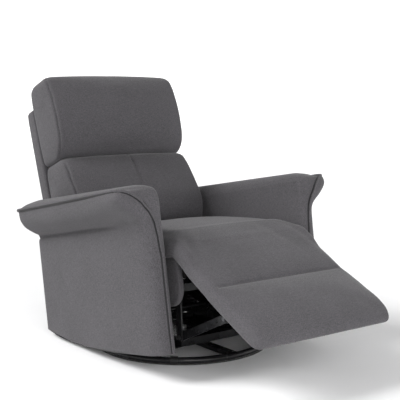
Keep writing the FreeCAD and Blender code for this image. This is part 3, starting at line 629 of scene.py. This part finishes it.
def arm_slope(y, z):
    """The piped edge climbs a little to the front, where the padding on top thins out."""
    lift = np.interp(z, [380, 430, 480, piped_edge, 536, arm_crown], [0, 6, 12, 9, 2, -6])
    return z + ramp(y, 330, -320) * float(lift)


def arm_ring(level):
    """One turn round the arm; below the flare the level is a share of the panel's height."""
    z = max(level, float(panel_top))
    inner = float(eased(*arm_shoulder, z))
    outer = float(eased(*flare, z)) if z <= piped_edge else float(eased(*arm_crest, z))
    nose = float(arm_front)
    if z > nose_start:
        nose += nose_round - math.sqrt(max(nose_round ** 2 - (z - nose_start) ** 2, 0))
    if z <= piped_edge:
        probe = level if level >= panel_top else arm_foot + (panel_top - arm_foot) * level / panel_top
        seam_x = float(np.interp(probe, welt_z, welt_x))
        seam_y = float(np.interp(probe, welt_z, welt_y))
        wrap = float(np.interp(z, [panel_top, piped_edge], [66, 18]))
    else:
        rise = (z - piped_edge) / (arm_crown - piped_edge)
        seam_x = outer - min(1 + 7 * rise, (outer - inner) * 0.45)
        seam_y = nose + 50 - 25 * rise
        wrap = 18
    heel = min(17.0, (outer - inner) * 0.45)
    ring = [(inner, y) for y in np.linspace(arm_rear, nose + heel, inner_steps)]
    ring += corner((inner + heel, nose + heel), heel, 180, 270, heel_steps + 1)[1:]
    x0, y0 = ring[-1]
    for t in np.linspace(0, 1, front_steps + 1)[1:]:
        ring.append((x0 + (seam_x - x0) * t, y0 + (seam_y - y0) * t ** 2.2))
    for t in np.radians(np.linspace(0, 90, wrap_steps + 1)[1:]):
        across = math.sin(t) ** 0.8
        ring.append((seam_x + (outer - seam_x) * across, seam_y + wrap * (1 - math.cos(t) ** 0.8)))
    ring += [(outer, y) for y in np.linspace(seam_y + wrap, arm_rear, outer_steps)[1:]]
    blunt = min(12.0, (outer - inner) * 0.4)
    ring += corner((outer - blunt, arm_rear), blunt, 0, 90, 5)[1:]
    ring += [(x, arm_rear + blunt) for x in np.linspace(outer - blunt, inner + blunt, 8)[1:]]
    ring += corner((inner + blunt, arm_rear), blunt, 90, 180, 5)[1:-1]
    tuck = tuck_depth * math.exp(-(((z - tuck_level) / tuck_width) ** 2))
    roll = roll_depth * math.exp(-(((z - roll_level) / roll_width) ** 2))
    placed = []
    for x, y in ring:
        if x > 350:
            x -= tuck * ramp(y, -260, -150)
            x += roll * ramp(x, seam_x, max(outer, seam_x + 1)) * ramp(y, -120, -290)
        height = arm_slope(y, z)
        if level < panel_top:
            low = float(eased(*arm_low, y))
            height = low + (height - low) * level / panel_top
        placed.append((x, y, height))
    return placed


arm_levels = [0, 3, 10] + list(np.linspace(30, panel_top, 14))
arm_levels += list(np.linspace(panel_top, 500, 26))[1:] + list(np.linspace(500, piped_edge, 15))[1:]
for turn in np.radians(np.linspace(0, 90, 14)[1:]):
    arm_levels.append(piped_edge + (arm_crown - piped_edge) * math.sin(turn))
arm_rings = np.array([arm_ring(level) for level in arm_levels])
seam_column = inner_steps + heel_steps + front_steps - 1
padded_side = slice(seam_column + 1, seam_column + wrap_steps + outer_steps - 2)
for _ in range(14):
    ahead = np.roll(arm_rings, -1, axis=1)
    behind = np.roll(arm_rings, 1, axis=1)
    even = arm_rings * 0.5 + (ahead + behind) * 0.25
    arm_rings[4:, padded_side] = even[4:, padded_side]
for _ in range(2):
    even = arm_rings[5:-2] * 0.5 + (arm_rings[4:-3] + arm_rings[6:-1]) * 0.25
    arm_rings[5:-2, seam_column + 1:] = even[:, seam_column + 1:]
welt_path = [(425, y, arm_slope(y, piped_edge) + 1) for y in np.linspace(330, -300, 30)]
welt_path += [(x + 1, y - 1.5, arm_slope(y, z) + 1) for x, y, z in welt_rows[:-1]]
welt_path += [(306, arm_front - 1.5, z) for z in np.linspace(300, 24, 18)]


def cut_away(piece, corners):
    """Take a box out of the piece; the corners are in the chair's drawing."""
    (x0, x1), (y0, y1), (z0, z1) = corners
    outline = ((x0, y0), (x1, y0), (x1, y1), (x0, y1))
    points = [from_chair(x, y, z) for z in (z0, z1) for x, y in outline]
    cutter = new_piece("cutter", points, ring_faces(2, 4), cover_cloth)
    saw = piece.modifiers.new("saw", "BOOLEAN")
    saw.operation, saw.solver, saw.object = "DIFFERENCE", "EXACT", cutter
    settle(piece)
    bpy.data.objects.remove(cutter)


# Painted seam shadow: a much darker copy of the cover cloth, used for thin tubes laid just behind each
# welt so that a dark line shows along both sides of the piping, standing in for the shade in the seam.
seam_shadow_cloth = grey_linen("seam_shadow_cloth", (0.008, 0.0078, 0.0082), (0.03, 0.029, 0.031))
arm_faces = ring_faces(len(arm_rings), len(arm_rings[0]))
ring_recess = ((-160, 160), (0, 70))
paddle_cup = ((-303.2, -280), (-204.9, -135.1), (437.1, 472.9))
welt_radius, seam_shadow_radius, seam_shadow_sink = 0.0046, 0.0064, 1.8
for name, side in (("left", 1), ("right", -1)):
    points = [from_chair(side * x, y, z) for ring in arm_rings for x, y, z in ring]
    arm = new_piece("arm_cover_" + name, points, arm_faces, cover_cloth)
    work = bmesh.new()
    work.from_mesh(arm.data)
    tip = from_chair(0, -120, 440)
    soft = [v for v in work.verts if v.co.y < tip[1] and v.co.z > tip[2]]
    for _ in range(4):
        bmesh.ops.smooth_vert(
            work, verts=soft, factor=0.5, use_axis_x=True, use_axis_y=True, use_axis_z=True
        )
    work.to_mesh(arm.data)
    work.free()
    cut_away(arm, ((side * 280, side * 324), *ring_recess))
    if name == "right":
        cut_away(arm, paddle_cup)
    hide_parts("arm_" + name)
    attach(arm, "seat")
    spine = [from_chair(side * x, y, z) for x, y, z in welt_path]
    welt = new_piece("arm_welt_" + name, *tube_along(spine, welt_radius, 12), cover_cloth)
    # Painted seam shadow tube: sunk partly into the arm beside the welt, in the dark cloth, standing in
    # for the shade along the piping.
    seam_shadow_line = []
    for x, y, z in welt_path:
        flared = ramp(z, 440, 500)
        sunk = seam_shadow_sink * flared
        seam_shadow_line.append(from_chair(side * (x - sunk), y + 2.4 - 0.6 * flared, z - sunk))
    shadow_tube = new_piece("arm_seam_shadow_" + name, *tube_along(seam_shadow_line, seam_shadow_radius, 12), seam_shadow_cloth)
    for piece in (welt, shadow_tube):
        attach(piece, "seat")

# Release paddle: a moulded nylon flap on a steel pin, in a cup let into the inner face of the
# sitter's right arm.
dress(moulded_nylon, "release_bezel", "release_paddle")
dress(zinc_plate, "release_pin")

# Back: a pine frame in steel hinge plates, covered all round, with a flap of cloth that hangs
# behind the seat and hides the mechanism.
back_turn = math.radians(20.2)


def from_back(x, y, z):
    """A point of the back's upright drawing, in millimetres, where it leans."""
    cos, sin = math.cos(back_turn), math.sin(back_turn)
    return np.array((x, y * cos + z * sin, z * cos - y * sin)) * 0.001


shell_half, shell_front, shell_rear = 277, 278, 327
shell_foot, shell_height = 397, 566
shell_levels = [(shell_foot, 12), (399, 8), (404, 5), (428, 4), (434, 0)]
shell_levels += [(z, 0) for z in np.linspace(460, 930, 16)] + [(950, 1), (958, 5), (962, 12)]
shell_points = []
for z, inset in shell_levels:
    half = shell_half - inset
    swell = 3.5 * math.sin(math.pi * ramp(z, shell_foot, shell_foot + shell_height))
    rear = shell_rear - inset * 0.6 + swell
    ring = corner((half - 10, shell_front), 10, -90, 0, 4)
    ring += corner((half - 14, rear - 14), 14, 0, 90, 5)
    ring += [(x, rear + 3 * (1 - (x / half) ** 2)) for x in np.linspace(half - 24, 24 - half, 14)]
    ring += corner((14 - half, rear - 14), 14, 90, 180, 5)
    ring += corner((10 - half, shell_front), 10, 180, 270, 4)
    shell_points += [from_back(x, y, z) for x, y in ring]
shell_faces = ring_faces(len(shell_levels), len(ring))
shell = new_piece("back_cover", shell_points, shell_faces, cover_cloth)
flap_half, flap_front, flap_rear = 225, 311.5, 321
flap_top, flap_rows = 402, 14
flap_outline = [(x, flap_front) for x in np.linspace(-flap_half, flap_half, 24)]
flap_outline += [(x, flap_rear) for x in np.linspace(flap_half, -flap_half, 24)]
flap_points = []
for z in np.linspace(241, flap_top, flap_rows):
    for x, y in flap_outline:
        wave = 1.5 * math.sin(x * 0.04) * (flap_top - z) / 160
        flap_points.append(from_back(x, y + wave, z))
flap = new_piece("back_flap", flap_points, ring_faces(flap_rows, len(flap_outline)), cover_cloth)
for piece in (shell, flap):
    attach(piece, "back")
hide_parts("back_shell")
dress(black_enamel, "back_hinge_plate_left", "back_hinge_plate_right")
dress(zinc_plate, "back_hinge_pins")


# Lumbar cushion: a fibre-filled pillow boxed at its sides, sewn down the middle of its front
# and fixed to the back's frame.
edge_round, rear_round = 27, 12


def pillow(name, rows):
    """A back cushion from level rows of height, half width, edge depth, crown depth and rear."""
    rows = np.array(rows, float)
    heights = np.linspace(rows[0, 0], rows[-1, 0], 70)
    columns = [eased(rows[:, 0], rows[:, k], heights) for k in range(1, 5)]
    points = []
    for z, half, edge, crown, rear in zip(heights, *columns):
        side = [(x, rear) for x in np.linspace(0, half - rear_round, 6)]
        side += corner((half - rear_round, rear - rear_round), rear_round, 90, 0, 5)[1:]
        side += corner((half - edge_round, edge + edge_round), edge_round, 0, -70, 8)
        x0, y0 = side[-1]
        for x in np.linspace(x0, 0, 14)[1:]:
            side.append((x, y0 + (crown - y0) * (1 - (x / x0) ** 2) ** 0.9))
        ring = side + [(-x, y) for x, y in side[-2:0:-1]]
        points += [from_back(x, y, z) for x, y in ring]
    return new_piece(name, points, ring_faces(len(heights), len(ring)), cover_cloth)


def side_seams(edge):
    """The seams of both boxed sides, from places on the sitter's left one."""
    return [[from_back(side * x, y, z) for x, y, z in edge] for side in (-1, 1)]


def sewn_to_frame(seams):
    """What holds a back cushion while it is filled: its rear on the frame, and its seams."""
    frame_depth, seam_reach = 0.235, 0.008

    def held(points):
        depth = points[:, 1] * math.cos(back_turn) - points[:, 2] * math.sin(back_turn)
        hold = np.clip((depth - frame_depth) / 0.02, 0, 1)
        for line in seams:
            near = np.clip(1.5 - distance_to(points, line) / seam_reach, 0, 1)
            hold = np.maximum(hold, near * 0.9)
        return hold

    return held


lumbar = pillow(
    "lumbar_pillow",
    [
        (434, 256, 84, 66, 264), (450, 268, 69, 44, 267), (524, 274, 53, 18, 267),
        (590, 274, 68, 40, 267), (632, 274, 82, 56, 267), (684, 273, 101, 78, 267),
        (716, 268, 120, 100, 267), (731, 254, 148, 134, 262),
    ],
)
box_seams = side_seams(
    [(262, 77, 458), (268, 65, 524), (268, 79, 590), (268, 94, 632), (266, 113, 687), (255, 143, 718)]
)
middle_line = [(44, 450), (12, 524), (34, 590), (51, 632), (74, 686), (114, 718)]
middle_seam = [from_back(0, y, z) for y, z in middle_line]
cushion_grid = 0.006
plump(lumbar, cushion_grid, sewn_to_frame([*box_seams, middle_seam]), swell_limit)
for line in box_seams:
    sew(lumbar, line, 0.0075, 0.0046)
sew(lumbar, middle_seam, 0.009, 0.0048)
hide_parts("lumbar_cushion")
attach(lumbar, "back")

# Head cushion: a taller boxed pillow that stands over the top of the frame and bulges out above
# the lumbar cushion.
head = pillow(
    "head_pillow",
    [
        (727, 262, 168, 152, 264), (733, 270, 148, 132, 267), (746, 275, 126, 106, 267),
        (772, 277, 106, 80, 267), (810, 278, 95, 65, 267), (880, 279, 90, 60, 267),
        (960, 280, 97, 72, 267), (1012, 279, 110, 93, 264), (1036, 271, 128, 114, 254),
        (1048, 254, 152, 140, 232),
    ],
)
head_seams = side_seams(
    [
        (263, 157, 735), (269, 137, 748), (272, 117, 774), (273, 106, 810), (274, 102, 880),
        (275, 109, 960), (274, 123, 1012), (265, 143, 1038),
    ]
)
plump(head, cushion_grid, sewn_to_frame(head_seams), swell_limit)
for line in head_seams:
    sew(head, line, 0.0055, 0.0042)
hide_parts("head_cushion")
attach(head, "back")


# Studio: a pale floor inside a round paper wall, a broad sun from behind on the left and a soft
# lamp in front, with the camera where the photograph was taken from.
def stage_sheet(name, corners, faces, finish):
    """A bare sheet of the studio, which isn't part of the chair."""
    mesh = bpy.data.meshes.new(name)
    mesh.from_pydata(corners, [], faces)
    mesh.materials.append(finish.material)
    sheet = bpy.data.objects.new(name, mesh)
    bpy.context.scene.collection.objects.link(sheet)
    return sheet


pale_floor = Finish("pale_floor", Roughness=0.75, Specular_IOR_Level=0.2)
here = pale_floor.place()
pale_floor.feed(
    Base_Color=pale_floor.between((0.86, 0.86, 0.865), (0.9, 0.9, 0.905), pale_floor.grain(here, 3.0))
)
floor_half = 30
floor_corners = [
    (x * floor_half, y * floor_half, 0) for x, y in ((-1, -1), (1, -1), (1, 1), (-1, 1))
]
stage_sheet("studio_floor", floor_corners, [(0, 1, 2, 3)], pale_floor)
white_paper = Finish(
    "white_paper", Roughness=0.9, Emission_Color=(1.0, 1.0, 1.0, 1.0), Emission_Strength=0.5
)
wall_radius, wall_foot, wall_top, wall_panels = 9, -0.1, 4.5, 48
round_wall = []
for z in (wall_foot, wall_top):
    for turn in np.arange(wall_panels) * 2 * math.pi / wall_panels:
        round_wall.append((wall_radius * math.cos(turn), wall_radius * math.sin(turn), z))
open_ring = ring_faces(2, wall_panels)[:-2]
paper_wall = stage_sheet("paper_wall", round_wall, open_ring, white_paper)
paper_wall.visible_shadow = False

sky = bpy.data.worlds.new("studio_sky")
bpy.context.scene.world = sky
sky.use_nodes = True
sky.node_tree.nodes["Background"].inputs["Color"].default_value = (1.0, 1.0, 1.0, 1.0)
sky.node_tree.nodes["Background"].inputs["Strength"].default_value = 0.3
bpy.context.scene.view_settings.view_transform = "Standard"


def hang_lamp(lamp, place, direction):
    """Put a lamp in the studio, shining along a direction."""
    holder = bpy.data.objects.new(lamp.name, lamp)
    holder.location = place
    holder.rotation_euler = Vector(direction).to_track_quat("-Z", "Y").to_euler()
    bpy.context.scene.collection.objects.link(holder)


front_lamp = bpy.data.lights.new("front_lamp", "AREA")
front_lamp.size, front_lamp.energy = 2.4, 90.0
hang_lamp(front_lamp, (-1.2, -3.8, 1.5), (1.2, 3.8, -1.0))
key_lamp = bpy.data.lights.new("key_lamp", "SUN")
key_lamp.energy, key_lamp.angle = 3.1, math.radians(30)
hang_lamp(key_lamp, (0, 0, 0), (0.62, -0.4, -0.68))

camera_data = bpy.data.cameras.new("photo_camera")
camera_data.sensor_fit = "HORIZONTAL"
camera_data.sensor_width = 36.0
camera_data.lens = 82.39
camera = bpy.data.objects.new("photo_camera", camera_data)
camera.location = (-1.8529, -2.5773, 0.8905)
sight = Vector((0.0531, -0.0323, 0.4995)) - camera.location
camera.rotation_euler = sight.to_track_quat("-Z", "Y").to_euler()
bpy.context.scene.collection.objects.link(camera)
bpy.context.scene.camera = camera
